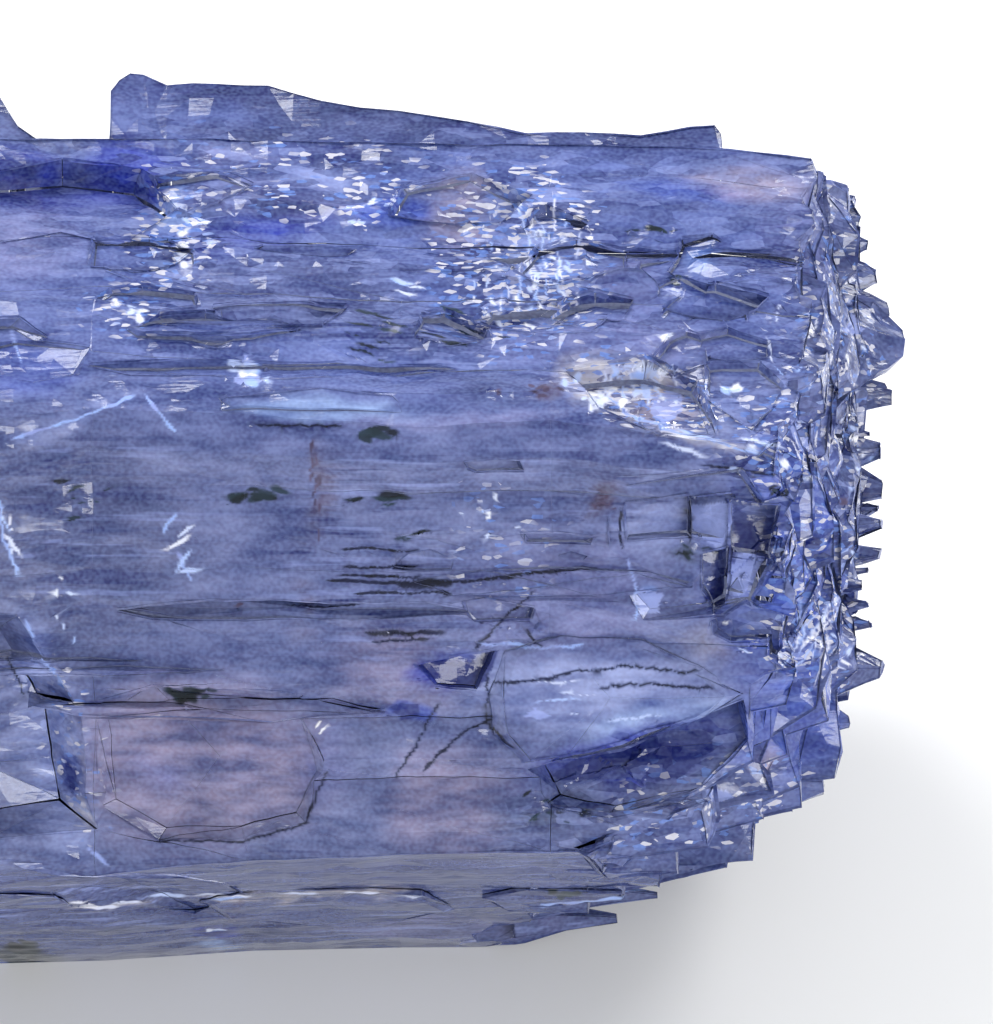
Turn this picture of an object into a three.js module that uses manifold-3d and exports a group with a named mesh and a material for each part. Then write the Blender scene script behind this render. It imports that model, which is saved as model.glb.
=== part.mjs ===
// A jeremejevite crystal: one natural six-sided prism of violet-blue gem crystal, lying on a prism face.
// Units are millimetres. +X runs along the prism to its ragged growth end, +Y is the far side, +Z is up.
// The origin is the centre of the bounding box, on the surface that the crystal lies on.
// Places on the crystal are given as they look from LOOK_UP degrees above its near side: x, and the
// height in that view, here called rise. A surface straight across that view has its depth in millimetres.
import * as THREE from "three";
import { mergeVertices } from "three/addons/utils/BufferGeometryUtils.js";
import Module from "manifold-3d";

const wasm = await Module();
wasm.setup();

// Driving dimensions
const HEIGHT = 7.85; // from the resting face to the parallel prism face on top
const ROOT_X = -6.0; // broken root end
const STOCK_X = 8.2; // the prism is made this long each way, before its ends are cut
const FAR_WIDTH = 4.5; // width of the prism face that slopes down on the far side
const LOOK_UP = 47;

// Prism faces meet at 120 degrees: they slope by 60 degrees and fall ROOT3 for each 1 across
const ROOT3 = Math.sqrt(3);
const LOOK_SIN = Math.sin(THREE.MathUtils.degToRad(LOOK_UP));
const LOOK_COS = Math.cos(THREE.MathUtils.degToRad(LOOK_UP));
const FRONT_FALL = (LOOK_SIN + ROOT3 * LOOK_COS) / 2; // rise lost for each 1 down the front face
const UNDER_FALL = (ROOT3 * LOOK_COS - LOOK_SIN) / 2; // and down the leaning face under it

// The long edges of the prism, as [x, rise]
const TOP_FAR_EDGE = [
  [-STOCK_X, 3.75], [-1.74, 3.72], [-0.98, 3.67], [-0.6, 3.74], [1.5, 3.66], [4.1, 3.64], [5.44, 3.62],
  [5.68, 3.57], [6.27, 3.52], [STOCK_X, 3.3],
];
const TOP_NEAR_EDGE = [
  [-STOCK_X, 0.9], [-4.4, 0.85], [-1.74, 0.8], [-0.38, 1.1], [0.82, 0.94], [2.2, 0.84], [3.67, 0.9],
  [5.2, 0.72], [STOCK_X, 0.5],
];
const FOOT_EDGE = [
  [-STOCK_X, -4.45], [-4.4, -4.5], [-1.74, -4.59], [-1.36, -4.51], [-0.97, -4.56], [-0.43, -4.49],
  [-0.21, -4.41], [0.46, -4.45], [1.23, -4.41], [2.89, -4.4], [STOCK_X, -4.38],
];
// A thinner crystal layer on the far side stands out past the top face. It has a gap with a hooked lip.
const LAYER_DROP = 0.35; // its top lies this far below the top face
const LAYER_WIDTH = 2.6; // and it reaches this far down the far side
const LAYER_ROOTED = 0.6; // how far it is sunk in the prism
const LIP = { out: 0.12, down: 0.3 }; // the bevel along its upper edge
const ROOT_LAYER = [
  [-STOCK_X, 4.1], [-6.6, 4.25], [-5.3, 4.12], [-4.1, 4.3], [-2.6, 4.3], [-1.74, 4.15], [-1.64, 3.97],
  [-1.55, 3.84], [-1.28, 3.66], [-1.1, 3.3],
];
const LONG_LAYER = [
  [-0.65, 4.2], [-0.58, 4.31], [-0.46, 4.39], [-0.34, 4.38], [-0.08, 4.27], [0.91, 4.25], [1.45, 4.09],
  [2.22, 4.0], [2.92, 3.89], [3.49, 3.78], [4.64, 3.77], [5.12, 3.86], [5.37, 3.86], [5.44, 3.76],
];

// The growth end as [rise, x]: how far its steps reach, before each ends a little short
const GROWTH_EDGE = [
  [-4.9, 2.0], [-4.5, 2.6], [-4.2, 3.8], [-4.0, 4.2], [-3.7, 4.85], [-3.4, 5.3], [-3.1, 5.9], [-2.9, 6.3],
  [-2.4, 6.42], [-2.2, 6.57], [-1.82, 6.7], [-1.7, 6.87], [-1.4, 7.0], [-0.87, 6.93], [0.16, 7.05],
  [0.45, 6.98], [0.96, 6.93], [1.3, 7.15], [2.2, 7.13], [2.82, 6.98], [3.15, 6.9], [3.33, 6.78],
  [3.48, 6.65], [3.6, 6.5], [4.6, 5.9],
];
// The depth at which the growth end reaches furthest, as [rise, depth], and its fall to each side
const GROWTH_CREST = [[-4.5, 4.3], [-3.4, 5.9], [2.6, 5.7], [3.6, 7.2]];
const GROWTH_FALL = 0.2;
const CELL = 0.64; // size of the steps on the growth end
const STEP = 0.42; // and how unevenly they end
const VALLEY = 0.35; // how deep the valleys between them are, as a share of that
// Single tips that stand out of the growth end, as [x, rise, half width]
const TIPS = [
  [6.8, 3.08, 0.13], [6.93, 2.68, 0.12], [7.02, 2.4, 0.18], [7.12, 2.02, 0.16], [7.29, 1.68, 0.34],
  [7.09, 1.29, 0.06], [7.17, 1.14, 0.12], [6.92, 0.8, 0.07], [7.04, 0.6, 0.16], [7.04, 0.24, 0.17],
  [7.0, 0.02, 0.12], [7.04, -0.15, 0.14], [7.02, -0.4, 0.13], [6.93, -0.58, 0.06], [6.91, -0.74, 0.09],
  [6.91, -0.94, 0.06], [6.93, -1.09, 0.08], [7.03, -1.54, 0.22], [6.67, -2.08, 0.12], [6.55, -2.27, 0.06],
  [6.42, -2.48, 0.07], [6.48, -2.77, 0.2], [5.66, -3.36, 0.12], [4.82, -3.84, 0.1], [4.4, -4.1, 0.14],
];

// Breaks, and smooth plates that stand out, on the near side. Each has its outline as [x, rise], and a
// centre from which the whole outline can be seen. Its height is off the face at the centre, below 0 for
// a break. dip is how far it sinks for each millimetre of x and of rise: it ends in a step on one side,
// and on the other it fades into the face.
const BREAKS = {
  rootShelf: {
    centre: [-2.6, -2.2],
    outline: [
      [-1.43, -1.0], [-1.1, -1.6], [-0.88, -1.98], [-0.81, -2.58], [-0.72, -3.1], [-1.9, -3.25],
      [-3.6, -3.15], [-4.7, -2.7], [-4.9, -1.9], [-4.3, -1.1], [-2.8, -0.8],
    ],
    height: -0.22,
    dip: [0.11, 0.03],
    rim: 0.8,
  },
  gapBreak: {
    centre: [-1.0, 3.08],
    outline: [[-2.2, 3.3], [-1.1, 3.5], [-0.3, 3.4], [0.12, 3.02], [-0.5, 2.65], [-1.1, 2.78], [-1.8, 2.66]],
    height: -0.2,
    dip: [0.05, 0.35],
  },
  smoothScar: {
    centre: [0.5, -2.4],
    outline: [
      [-0.77, -1.88], [-0.17, -1.68], [1.33, -1.78], [1.58, -2.58], [1.33, -3.03], [0.73, -3.2],
      [-0.12, -3.2], [-0.67, -2.88],
    ],
    height: -0.04,
    dip: [0.03, -0.05],
  },
  blueWedge: {
    centre: [2.8, -1.56],
    outline: [[2.43, -1.5], [2.8, -1.42], [3.18, -1.36], [3.0, -1.73], [2.6, -1.7]],
    height: -0.1,
    dip: [0.1, 0.3],
  },
  brightBreak: {
    centre: [4.62, 1.15],
    outline: [[3.86, 1.45], [4.62, 1.52], [5.15, 1.34], [5.33, 0.78], [4.8, 0.75], [4.2, 1.02]],
    height: -0.16,
    dip: [0, 0.4],
  },
  stairs: {
    centre: [5.1, -0.32],
    outline: [[4.3, 0.32], [5.57, 0.42], [6.02, -0.18], [5.72, -0.98], [4.62, -1.03], [4.3, -0.48]],
    height: -0.1,
    dip: [0.12, 0],
  },
  westPane: {
    centre: [4.74, -0.1],
    outline: [[4.41, 0.1], [5.08, 0.12], [5.1, -0.3], [4.45, -0.28]],
    height: -0.16,
    dip: [0.25, -0.1],
  },
  middlePane: {
    centre: [5.28, -0.12],
    outline: [[5.04, 0.09], [5.5, 0.14], [5.51, -0.33], [5.08, -0.29]],
    height: -0.22,
    dip: [-0.35, 0.2],
  },
  eastPane: {
    centre: [5.72, -0.22],
    outline: [[5.45, 0.08], [5.96, 0.02], [5.85, -0.52], [5.47, -0.45]],
    height: -0.4,
    dip: [0.2, 0.3],
  },
  spike: {
    centre: [5.32, -0.7],
    outline: [[5.2, -0.42], [5.47, -0.38], [5.42, -0.94], [5.3, -1.0], [5.18, -0.8]],
    height: -0.34,
    dip: [0.3, 0],
  },
  undercut: {
    centre: [4.8, -2.4],
    outline: [
      [3.5, -2.52], [4.42, -2.32], [5.6, -1.84], [5.75, -2.3], [5.25, -2.78], [4.3, -2.95], [3.7, -2.85],
    ],
    height: -0.32,
    dip: [0, 0.5],
  },
};
const PLATES = {
  leaf: {
    centre: [4.3, -1.8],
    outline: [
      [3.12, -1.78], [3.27, -1.36], [3.82, -1.2], [4.62, -1.25], [5.22, -1.53], [5.6, -1.78], [5.22, -2.0],
      [4.42, -2.3], [3.82, -2.43], [3.42, -2.46], [3.18, -2.18],
    ],
    height: 0.08,
    dip: [0.02, 0.12],
  },
  cornerSlab: {
    centre: [5.85, -2.88],
    outline: [[5.42, -2.95], [5.6, -2.7], [6.1, -2.6], [6.4, -2.8], [6.2, -3.1], [5.7, -3.18]],
    height: 0.14,
    dip: [-0.05, 0.35],
  },
  lowSlab: {
    centre: [4.8, -3.3],
    outline: [[3.95, -3.3], [4.6, -3.04], [5.4, -3.08], [5.5, -3.35], [5.0, -3.62], [4.2, -3.58]],
    height: 0.12,
    dip: [0.05, 0.2],
  },
  paleBand: {
    centre: [1.4, 1.03],
    outline: [[0.45, 1.12], [1.5, 1.17], [2.3, 1.1], [2.4, 0.95], [1.3, 0.98], [0.5, 1.0]],
    height: 0.05,
    dip: [0, -0.3],
  },
};
// Patches of flakes broken off: how many, the range of x and of rise, half sizes and depth. The patch on
// the far side has its distance down the face there in place of rise.
const FLAKES = [
  { count: 8, x: [-1.5, 2.6], rise: [1.4, 3.3], long: 0.75, wide: 0.18, depth: 0.1 },
  { count: 13, x: [2.7, 5.7], rise: [1.5, 3.2], long: 0.5, wide: 0.24, depth: 0.13 },
  { count: 7, x: [5.6, 6.5], rise: [-1.9, 1.2], long: 0.4, wide: 0.26, depth: 0.17 },
  { count: 5, x: [2.2, 4.2], rise: [-1.1, 0.6], long: 0.3, wide: 0.1, depth: 0.06 },
  { count: 4, x: [-5.2, -2.0], rise: [-0.5, 3.3], long: 0.7, wide: 0.25, depth: 0.12 },
];
const FAR_FLAKES = { count: 5, x: [-5.2, 5.4], rise: [2.9, 4.4], long: 0.7, wide: 0.25, depth: 0.12 };
const FLAKE_CORNERS = 6;
const RIM = 0.88; // how much of its outline the flat of a break or plate fills
const LID = 0.25; // a break is cut from this far above the face
const ROOTED = 0.8; // and a plate is sunk this far into it
const CLEAR = 0.6; // the share of either that the flat may take up

// Striae: grooves and ridges along the prism faces. STRIAE is how many there are on each face.
const GROOVE = 0.05;
const STRIAE = { front: 12, top: 9, far: 7, farUnder: 5, under: 7 };
const STATIONS = 11;
const LEDGES_PER_FACE = 5;
const LEDGE_STEP = 0.06;
const MERGE = 0.002; // corners closer than this are one corner

// Linear interpolation in a list of [at, value] corners
function along(corners, at) {
  const next = corners.findIndex(([where]) => where >= at);
  if (next <= 0) return corners[next === 0 ? 0 : corners.length - 1][1];
  const [[fromAt, fromValue], [toAt, toValue]] = [corners[next - 1], corners[next]];
  return THREE.MathUtils.mapLinear(at, fromAt, toAt, fromValue, toValue);
}

// A repeatable random number from 0 to 1 for a pair of numbers
function scatter(a, b = 0) {
  const wave = Math.sin(a * 127.1 + b * 311.7 + 17.3) * 43758.5453;
  return wave - Math.floor(wave);
}

// The y of a place at height z that is seen at this rise
function levelY(rise, z) {
  return (rise - z * LOOK_COS) / LOOK_SIN;
}

// Six times the signed volume inside a closed mesh: it is negative where the mesh faces inwards
function signedVolume(points, triangles) {
  const [a, b, c] = [new THREE.Vector3(), new THREE.Vector3(), new THREE.Vector3()];
  let sum = 0;
  for (let t = 0; t < triangles.length; t += 3) {
    a.fromArray(points, 3 * triangles[t]);
    b.fromArray(points, 3 * triangles[t + 1]);
    c.fromArray(points, 3 * triangles[t + 2]);
    sum += a.dot(b.cross(c));
  }
  return sum;
}

// A closed three.js geometry as a solid that faces outwards
function solid(geometry) {
  const bare = geometry.clone();
  bare.deleteAttribute("normal");
  bare.deleteAttribute("uv");
  const merged = mergeVertices(bare, 1e-4);
  const triVerts = new Uint32Array(merged.index.array);
  const vertProperties = new Float32Array(merged.attributes.position.array);
  if (signedVolume(vertProperties, triVerts) < 0) triVerts.reverse();
  return new wasm.Manifold(new wasm.Mesh({ numProp: 3, vertProperties, triVerts }));
}

// A geometry from points and triangles of their numbers
function meshOf(points, triangles) {
  return new THREE.BufferGeometry().setFromPoints(points).setIndex(triangles);
}

// A closed skin over rings of equal length, with a fan to a middle point at each end
function skin(rings, firstMiddle, lastMiddle) {
  const size = rings[0].length;
  const points = [...rings.flat(), firstMiddle, lastMiddle];
  const [first, last] = [points.length - 2, points.length - 1];
  const lastRing = (rings.length - 1) * size;
  const triangles = [];
  for (let i = 0; i < size; i++) {
    const j = (i + 1) % size;
    for (let start = 0; start < lastRing; start += size) {
      const [a, b, c, d] = [start + i, start + j, start + size + i, start + size + j];
      triangles.push(a, b, c, b, d, c);
    }
    triangles.push(j, i, first, lastRing + i, lastRing + j, last);
  }
  return solid(meshOf(points, triangles));
}

// The middle of a ring of points
function middleOf(ring) {
  return ring.reduce((sum, point) => sum.add(point), new THREE.Vector3()).divideScalar(ring.length);
}

// The corners of the hexagon at x, as [y, z]
function hexagon(x) {
  const topNear = [levelY(along(TOP_NEAR_EDGE, x), HEIGHT), HEIGHT];
  const topFar = [levelY(along(TOP_FAR_EDGE, x), HEIGHT), HEIGHT];
  const foot = [levelY(along(FOOT_EDGE, x), 0), 0];
  const frontWidth = topNear[0] - foot[0] + HEIGHT / ROOT3;
  const near = [topNear[0] - frontWidth / 2, HEIGHT - (frontWidth * ROOT3) / 2];
  const far = [topFar[0] + FAR_WIDTH / 2, HEIGHT - (FAR_WIDTH * ROOT3) / 2];
  const farFoot = [far[0] - far[1] / ROOT3, 0];
  return { topNear, topFar, far, farFoot, foot, near };
}

// Points from one corner to the next, pressed in or out of the face to make its striae
function striatedFace(from, to, count, x, seed) {
  const [dy, dz] = [to[0] - from[0], to[1] - from[1]];
  const width = Math.hypot(dy, dz);
  return Array.from({ length: count }, (_, i) => {
    const place = i === 0 ? 0 : (i + 0.7 * (scatter(i, seed) - 0.5)) / count;
    const swing = Math.sin(x * (0.35 + 0.5 * scatter(i, seed + 1)) + 6 * scatter(i, seed + 2));
    const press = i === 0 ? 0 : GROOVE * ((i % 2 ? 0.6 : -0.6) + 0.7 * swing);
    return [from[0] + dy * place - (dz / width) * press, from[1] + dz * place + (dy / width) * press];
  });
}

// One section across the prism
function section(x) {
  const { topNear, topFar, far, farFoot, foot, near } = hexagon(x);
  const outline = [
    ...striatedFace(near, topNear, STRIAE.front, x, 1),
    ...striatedFace(topNear, topFar, STRIAE.top, x, 2),
    ...striatedFace(topFar, far, STRIAE.far, x, 3),
    ...striatedFace(far, farFoot, STRIAE.farUnder, x, 4),
    farFoot,
    ...striatedFace(foot, near, STRIAE.under, x, 5),
  ];
  return outline.map(([y, z]) => new THREE.Vector3(x, y, z));
}

// The whole prism, longer than the crystal at both ends
function prism() {
  const step = (2 * STOCK_X) / STATIONS;
  const rings = Array.from({ length: STATIONS + 1 }, (_, i) => section(-STOCK_X + i * step));
  return skin(rings, middleOf(rings[0]), middleOf(rings[STATIONS]));
}

// The layer on the far side, whose upper lip is seen at these [x, rise] corners
function farLayer(lip) {
  const z = HEIGHT - LAYER_DROP;
  const rings = lip.map(([x, rise], i) => {
    const lipY = levelY(rise, z);
    const reach = LAYER_WIDTH * (0.75 + 0.25 * scatter(i, 6));
    const [low, out] = [z - (reach * ROOT3) / 2, lipY + reach / 2];
    const inY = hexagon(x).topFar[0] - LAYER_ROOTED;
    const foot = [out - LAYER_ROOTED, low - LAYER_ROOTED];
    return [[inY, z], [lipY, z], [lipY + LIP.out, z - LIP.down], [out, low], foot, [inY, low]];
  });
  const points = rings.map((ring, i) => ring.map(([y, height]) => new THREE.Vector3(lip[i][0], y, height)));
  return skin(points, middleOf(points[0]), middleOf(points[points.length - 1]));
}

// A block that fills x < reach(y, z). Its front is a grid of uneven steps with slanting caps, and the grid
// runs along the prism's faces. cell is the size of a step, cap the least and greatest share of it that is
// flat, and step how unevenly the steps end.
function steppedBlock({ cell, cap, step, reach, seed }) {
  const [lowY, lowZ, spanY, spanZ] = [-14.4, -0.5, 15, HEIGHT + 1]; // wider than the prism all round
  const [countY, countZ] = [Math.round(spanY / cell), Math.round(spanZ / cell)];
  const gridPoint = (i, j) => {
    const z = lowZ + (spanZ * j) / countZ;
    return [lowY + (spanY * i) / countY + (z - lowZ) / ROOT3, z];
  };
  const at = (i, j) => {
    const loose = i > 0 && j > 0 && i < countY && j < countZ ? 0.45 * cell : 0;
    const [y, z] = gridPoint(i, j);
    const shiftY = scatter(i + seed, j) + scatter(i, seed);
    const shiftZ = scatter(j, i + seed) + scatter(seed, j);
    return [y + loose * (shiftY - 1), z + loose * (shiftZ - 1)];
  };
  const capX = (i, j) => {
    const [y, z] = gridPoint(i + 0.5, j + 0.5);
    const bundle = scatter(Math.floor((i + (j % 3)) / 3), Math.floor((j + (i % 2)) / 2) + seed);
    return reach(y, z) - step * (0.55 * bundle + 0.45 * scatter(i + 3 * seed, 2 * j));
  };
  const inside = (value, count) => THREE.MathUtils.clamp(value, 0, count - 1);
  const cellsRound = (i, j) => [
    [i - 1, j - 1], [i, j - 1], [i - 1, j], [i, j],
  ].map(([p, q]) => capX(inside(p, countY), inside(q, countZ)));
  const corner = (i, j) => i * (countZ + 1) + j;
  const points = [];
  const triangles = [];
  for (let i = 0; i <= countY; i++) {
    for (let j = 0; j <= countZ; j++) {
      const mean = cellsRound(i, j).reduce((sum, x) => sum + x, 0) / 4;
      points.push(new THREE.Vector3(mean - VALLEY * step * scatter(i, j + 2 * seed), ...at(i, j)));
    }
  }
  for (let i = 0; i < countY; i++) {
    for (let j = 0; j < countZ; j++) {
      const base = [corner(i, j), corner(i + 1, j), corner(i + 1, j + 1), corner(i, j + 1)];
      const centre = middleOf(base.map((n) => points[n]));
      const share = THREE.MathUtils.lerp(cap[0], cap[1], scatter(i + 5 * seed, j));
      const caps = base.map((n, k) => {
        const point = points[n].clone().lerp(centre, 1 - share);
        point.x = capX(i, j) + 0.5 * step * (scatter(i + k, j + seed) - 0.5);
        return points.push(point) - 1;
      });
      triangles.push(caps[0], caps[1], caps[2], caps[0], caps[2], caps[3]);
      for (let k = 0; k < 4; k++) {
        const m = (k + 1) % 4;
        triangles.push(base[k], base[m], caps[m], base[k], caps[m], caps[k]);
      }
    }
  }
  const rim = [
    ...Array.from({ length: countY }, (_, i) => corner(i, 0)),
    ...Array.from({ length: countZ }, (_, j) => corner(countY, j)),
    ...Array.from({ length: countY }, (_, i) => corner(countY - i, countZ)),
    ...Array.from({ length: countZ }, (_, j) => corner(0, countZ - j)),
  ];
  const backs = rim.map((n) => points.push(new THREE.Vector3(-2 * STOCK_X, points[n].y, points[n].z)) - 1);
  const backMiddle = points.push(middleOf(backs.map((n) => points[n]))) - 1;
  rim.forEach((n, k) => {
    const m = (k + 1) % rim.length;
    triangles.push(rim[m], n, backs[k], rim[m], backs[k], backs[m], backs[m], backs[k], backMiddle);
  });
  return meshOf(points, triangles);
}

// How far the growth end reaches at y and z, before its steps and tips
function growthReach(y, z) {
  const rise = y * LOOK_SIN + z * LOOK_COS;
  const depth = z * LOOK_SIN - y * LOOK_COS;
  return along(GROWTH_EDGE, rise) - GROWTH_FALL * Math.abs(depth - along(GROWTH_CREST, rise));
}

function growthEnd() {
  return solid(steppedBlock({ cell: CELL, cap: [0.3, 0.85], step: STEP, reach: growthReach, seed: 4 }));
}

// The broken root: large, smoother facets that bulge about the prism's axis and lean back to its foot
function rootEnd() {
  const [axisY, axisZ] = [-4, HEIGHT / 2];
  const reach = (y, z) => -ROOT_X - 0.02 * ((y - axisY) ** 2 + (z - axisZ) ** 2) + 0.08 * z;
  return solid(steppedBlock({ cell: 1.7, cap: [0.3, 0.6], step: 0.75, reach, seed: 5 }).scale(-1, 1, 1));
}

// The place on the unworn prism that is seen at x and rise, and the outward direction of its face
function onNearSide(x, rise) {
  const { topNear, near } = hexagon(x);
  const ridge = along(TOP_NEAR_EDGE, x);
  const front = (ridge - rise) / FRONT_FALL;
  const frontWidth = 2 * (topNear[0] - near[0]);
  if (front < 0) return { y: levelY(rise, HEIGHT), z: HEIGHT, out: new THREE.Vector3(0, 0, 1) };
  if (front < frontWidth) {
    const out = new THREE.Vector3(0, -ROOT3 / 2, 0.5);
    return { y: topNear[0] - front / 2, z: HEIGHT - (front * ROOT3) / 2, out };
  }
  const under = (ridge - frontWidth * FRONT_FALL - rise) / UNDER_FALL;
  const out = new THREE.Vector3(0, -ROOT3 / 2, -0.5);
  return { y: near[0] + under / 2, z: near[1] - (under * ROOT3) / 2, out };
}

// The place on the face that slopes down on the far side, this far down from its upper edge
function onFarSide(x, down) {
  const { topFar } = hexagon(x);
  const out = new THREE.Vector3(0, ROOT3 / 2, 0.5);
  return { y: topFar[0] + down / 2, z: HEIGHT - (down * ROOT3) / 2, out };
}

// The solid between the flat of a break or plate and its far end: outside the face for a break, and in
// the crystal for a plate. The flat is kept clear of that end.
function mark({ centre, outline, height, dip, rim = RIM, place = onNearSide }) {
  const sunk = height < 0;
  const { out } = place(...centre);
  const point = (share, corner, liftOf) => {
    const [x, across] = corner.map((value, i) => THREE.MathUtils.lerp(centre[i], value, share));
    const { y, z } = place(x, across);
    return new THREE.Vector3(x, y, z).addScaledVector(out, liftOf(x, across));
  };
  const endLift = () => (sunk ? LID : -ROOTED);
  const flatLift = (x, across) => {
    const lift = height - dip[0] * (x - centre[0]) - dip[1] * (across - centre[1]);
    return sunk ? Math.min(lift, CLEAR * LID) : Math.max(lift, -CLEAR * ROOTED);
  };
  const edgeLift = (x, across) => Math[sunk ? "max" : "min"](0, flatLift(x, across));
  const rings = [[1, endLift], [1, edgeLift], [rim, flatLift]].map(([share, liftOf]) =>
    outline.map((corner) => point(share, corner, liftOf)),
  );
  return skin(rings, point(0, centre, endLift), point(0, centre, flatLift));
}

// Uneven flakes at scattered places in a patch, each dipping its own way
function flakes({ count, x, rise, long, wide, depth, place = onNearSide }, patch) {
  return Array.from({ length: count }, (_, i) => {
    const seed = 20 * patch + i;
    const centre = [x, rise].map(([low, high], n) => THREE.MathUtils.lerp(low, high, scatter(seed, n)));
    const half = [long, wide].map((size, n) => size * (0.6 + 0.8 * scatter(seed, n + 2)));
    const outline = Array.from({ length: FLAKE_CORNERS }, (_, k) => {
      const angle = (2 * Math.PI * (k + 0.7 * scatter(seed, k + 10))) / FLAKE_CORNERS;
      const reach = 0.7 + 0.5 * scatter(seed, k + 30);
      return [centre[0] + half[0] * reach * Math.cos(angle), centre[1] + half[1] * reach * Math.sin(angle)];
    });
    const dip = half.map((size, n) => (1.6 * depth * (scatter(seed, n + 4) - 0.5)) / size);
    return { centre, outline, height: -depth * (0.35 + 0.65 * scatter(seed, 6)), dip, place };
  });
}

// Long low growth ledges, cut and raised, at scattered places on the prism faces
function ledges() {
  const bands = [
    [onNearSide, -2.6, 0.4], [onNearSide, 1.3, 3.3], [onNearSide, -4.1, -3.6],
    [onFarSide, LAYER_WIDTH + 1, FAR_WIDTH - 0.2],
  ];
  const shape = [[-1, 0.2], [-0.5, 1], [0.7, 0.8], [1, -0.2], [0.4, -1], [-0.8, -0.7]];
  return bands.flatMap(([place, low, high], band) =>
    Array.from({ length: LEDGES_PER_FACE }, (_, i) => {
      const seed = 10 * band + i;
      const x = THREE.MathUtils.lerp(-5.2, 5.4, (i + scatter(seed, 1)) / LEDGES_PER_FACE);
      const across = THREE.MathUtils.lerp(low, high, scatter(seed, 2));
      const [long, wide] = [0.8 + 1.4 * scatter(seed, 3), 0.08 + 0.1 * scatter(seed, 4)];
      const outline = shape.map(([p, q]) => [x + p * long, across + q * wide]);
      const height = LEDGE_STEP * (scatter(seed, 5) > 0.45 ? 0.6 : -0.6);
      return { centre: [x, across], outline, height, dip: [0, LEDGE_STEP / wide], place };
    }),
  );
}

// One single tip on the growth end: a blunt five-sided pyramid along X, rooted in the solid behind it
function tip([x, rise, half]) {
  const depth = along(GROWTH_CREST, rise) + 2 * (scatter(x, rise) - 0.5);
  const [y, z] = [rise * LOOK_SIN - depth * LOOK_COS, rise * LOOK_COS + depth * LOOK_SIN];
  const rootX = growthReach(y, z) - 1.3 * STEP;
  const shape = new THREE.CylinderGeometry(0.4 * half, 1.8 * half, x - rootX, 5);
  shape.rotateZ(-Math.PI / 2).scale(1, 1, 1.5).rotateX(6 * scatter(rise, x));
  return solid(shape.translate((x + rootX) / 2, y, z));
}

function crystalSolid() {
  const patches = [...FLAKES, { ...FAR_FLAKES, place: onFarSide }];
  const named = [...Object.values(BREAKS), ...Object.values(PLATES)];
  const marks = [...patches.flatMap(flakes), ...named, ...ledges()];
  const join = (whole, piece) => whole.add(piece);
  const cut = (whole, piece) => whole.subtract(piece);
  const layered = [ROOT_LAYER, LONG_LAYER].map(farLayer).reduce(join, prism());
  const carved = marks.filter(({ height }) => height < 0).map(mark).reduce(cut, layered);
  const built = marks.filter(({ height }) => height > 0).map(mark).reduce(join, carved);
  return TIPS.map(tip).reduce(join, built.intersect(growthEnd())).intersect(rootEnd());
}

// The triangles of the largest body. Crumbs that the cuts leave loose, or touching only along an edge
// that other triangles share, are dropped.
function largestBody(triangles) {
  const threes = Array.from({ length: triangles.length / 3 }, (_, t) => triangles.slice(3 * t, 3 * t + 3))
    .filter(([a, b, c]) => a !== b && b !== c && c !== a);
  const parent = threes.map((_, t) => t);
  const bodyOf = (t) => {
    let top = t;
    while (parent[top] !== top) top = parent[top];
    parent[t] = top;
    return top;
  };
  const sides = threes.flatMap(([a, b, c], t) => [[a, b, t], [b, c, t], [c, a, t]]);
  const sharers = Map.groupBy(sides, ([a, b]) => `${Math.min(a, b)} ${Math.max(a, b)}`);
  for (const pair of sharers.values()) {
    if (pair.length === 2) parent[bodyOf(pair[0][2])] = bodyOf(pair[1][2]);
  }
  const bodies = Map.groupBy(threes, (_, t) => bodyOf(t));
  const [largest] = [...bodies.values()].sort((a, b) => b.length - a.length);
  return largest.flatMap((three) => [...three]);
}

// A solid as a three.js geometry, moved so that the origin is where the header says
function geometryOf(made) {
  const { vertProperties, triVerts } = made.getMesh();
  const exact = new THREE.BufferGeometry();
  exact.setAttribute("position", new THREE.BufferAttribute(new Float32Array(vertProperties), 3));
  exact.setIndex(new THREE.BufferAttribute(new Uint32Array(triVerts), 1));
  const merged = mergeVertices(exact, MERGE);
  merged.setIndex(largestBody(merged.index.array));
  const geometry = mergeVertices(merged.toNonIndexed(), MERGE / 10);
  geometry.computeBoundingBox();
  const { min, max } = geometry.boundingBox;
  return geometry.translate(-(min.x + max.x) / 2, -(min.y + max.y) / 2, -min.z);
}

const violetBlue = new THREE.MeshStandardMaterial({ color: 0x7a84b8, roughness: 0.25, metalness: 0 });
const crystal = new THREE.Mesh(geometryOf(crystalSolid()), violetBlue);
crystal.name = "crystal";

const part = new THREE.Group();
part.add(crystal);
export default part;
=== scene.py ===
"""The looks of a jeremejevite crystal that lies on a prism face, seen from the photo's angle.

Lengths are in metres, in the frame of the CAD model: +X along the prism to its growth end, +Y to the
far side, +Z up. A place read from the photo is given by its pixel, as column and row, and lies on the
crystal's near side. Half sizes that go with a place are in pixels too, and angles are in degrees,
turning from the photo's right to its bottom.
"""
import math
import random

import bmesh
import bpy
import numpy as np
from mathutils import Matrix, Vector, noise


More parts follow.
